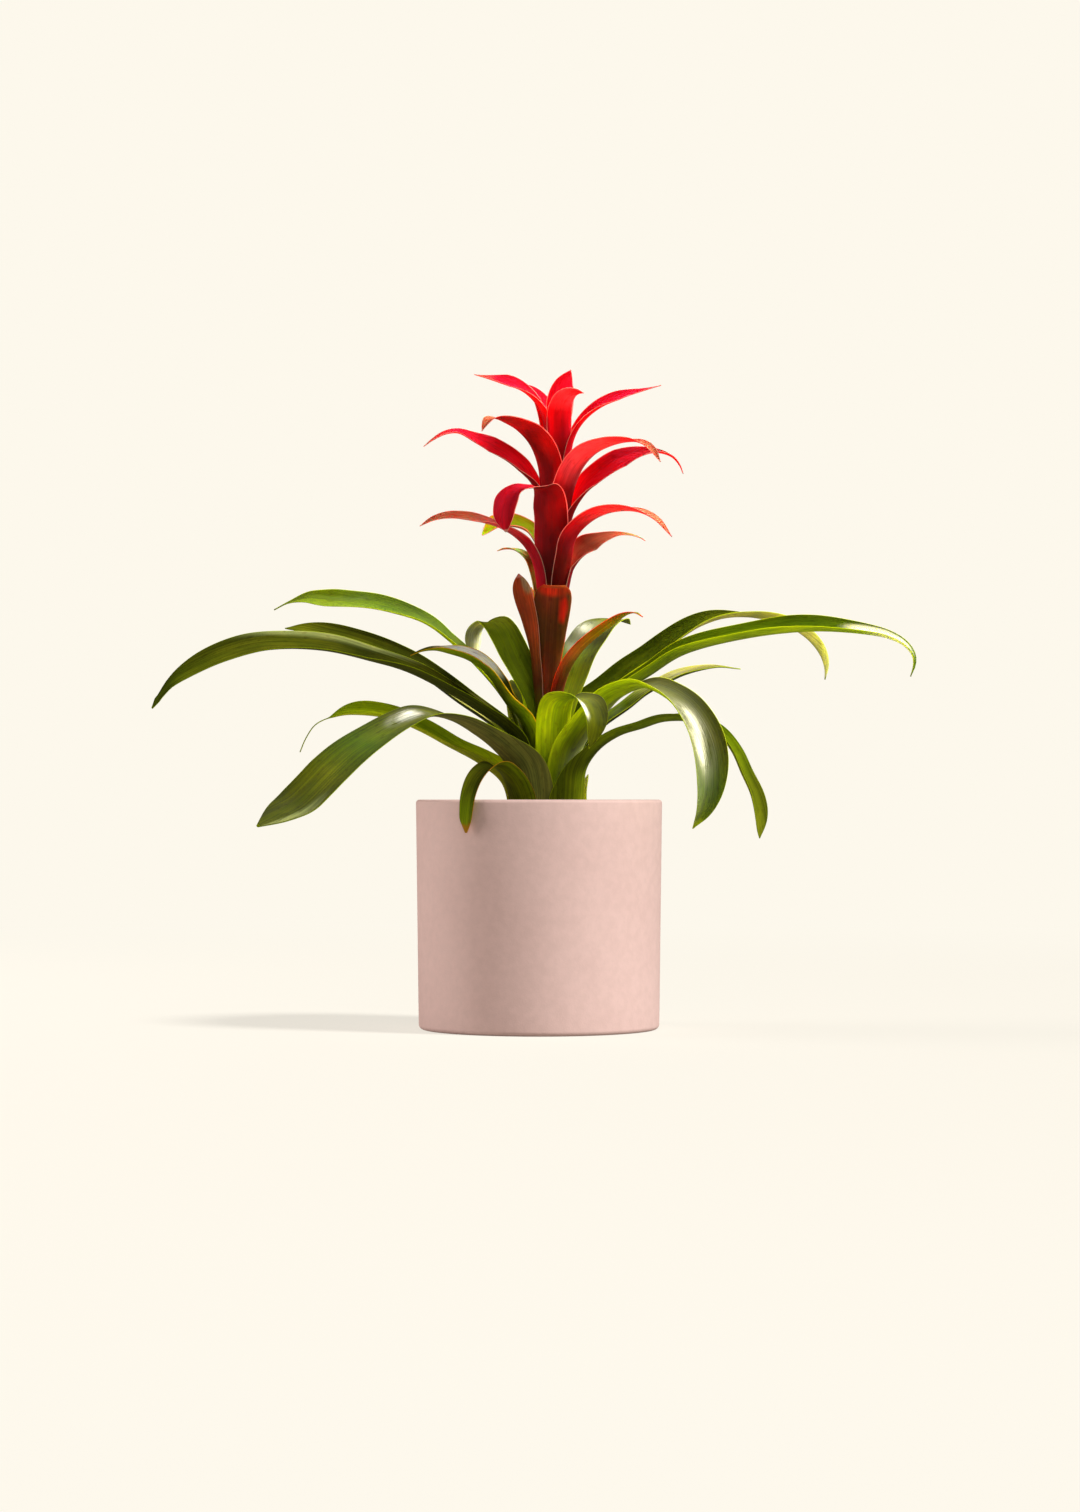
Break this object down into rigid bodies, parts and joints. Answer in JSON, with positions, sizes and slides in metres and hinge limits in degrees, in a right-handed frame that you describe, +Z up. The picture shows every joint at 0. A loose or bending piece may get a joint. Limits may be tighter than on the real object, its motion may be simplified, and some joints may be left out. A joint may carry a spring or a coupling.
{
  "type": "potted guzmania bromeliad",
  "caption": "Bromeliad with arching strap leaves and a tall spike of red bracts, rooted in bark mix in a plain straight-sided pink planter.",
  "frame": {"origin": "middle of the pot's underside, on the surface it stands on", "axes": "+Z up, +X to the plant's right as it is seen from the front, +Y to its back"},
  "size_m": [0.5375, 0.376, 0.4703],
  "materials": {
    "glazed_pot": "matte",
    "potting_mix": "matte",
    "stem": "satin",
    "leaf": "satin",
    "stalk_bract": "satin",
    "red_bract": "satin"
  },
  "bodies": {
    "root": {"pot": "glazed_pot", "potting_mix": "potting_mix", "stem": "stem", "leaf_01": "leaf", "leaf_02": "leaf", "leaf_03": "leaf", "leaf_04": "leaf", "leaf_05": "leaf", "leaf_06": "leaf", "leaf_07": "leaf", "leaf_08": "leaf", "leaf_09": "leaf", "leaf_10": "leaf", "leaf_11": "leaf", "leaf_12": "leaf", "leaf_13": "leaf", "leaf_14": "leaf", "leaf_15": "leaf", "leaf_16": "leaf", "leaf_17": "leaf", "leaf_18": "leaf", "leaf_19": "leaf", "leaf_20": "leaf", "stalk_bract_1": "stalk_bract", "stalk_bract_2": "stalk_bract", "stalk_bract_3": "stalk_bract", "stalk_bract_4": "stalk_bract", "stalk_bract_5": "stalk_bract", "red_bract_01": "red_bract", "red_bract_02": "red_bract", "red_bract_03": "red_bract", "red_bract_04": "red_bract", "red_bract_05": "red_bract", "red_bract_06": "red_bract", "red_bract_07": "red_bract", "red_bract_08": "red_bract", "red_bract_09": "red_bract", "red_bract_10": "red_bract", "red_bract_11": "red_bract", "red_bract_12": "red_bract", "red_bract_13": "red_bract", "red_bract_14": "red_bract", "red_bract_15": "red_bract", "red_bract_16": "red_bract", "red_bract_17": "red_bract", "red_bract_18": "red_bract"}
  },
  "joints": []
}
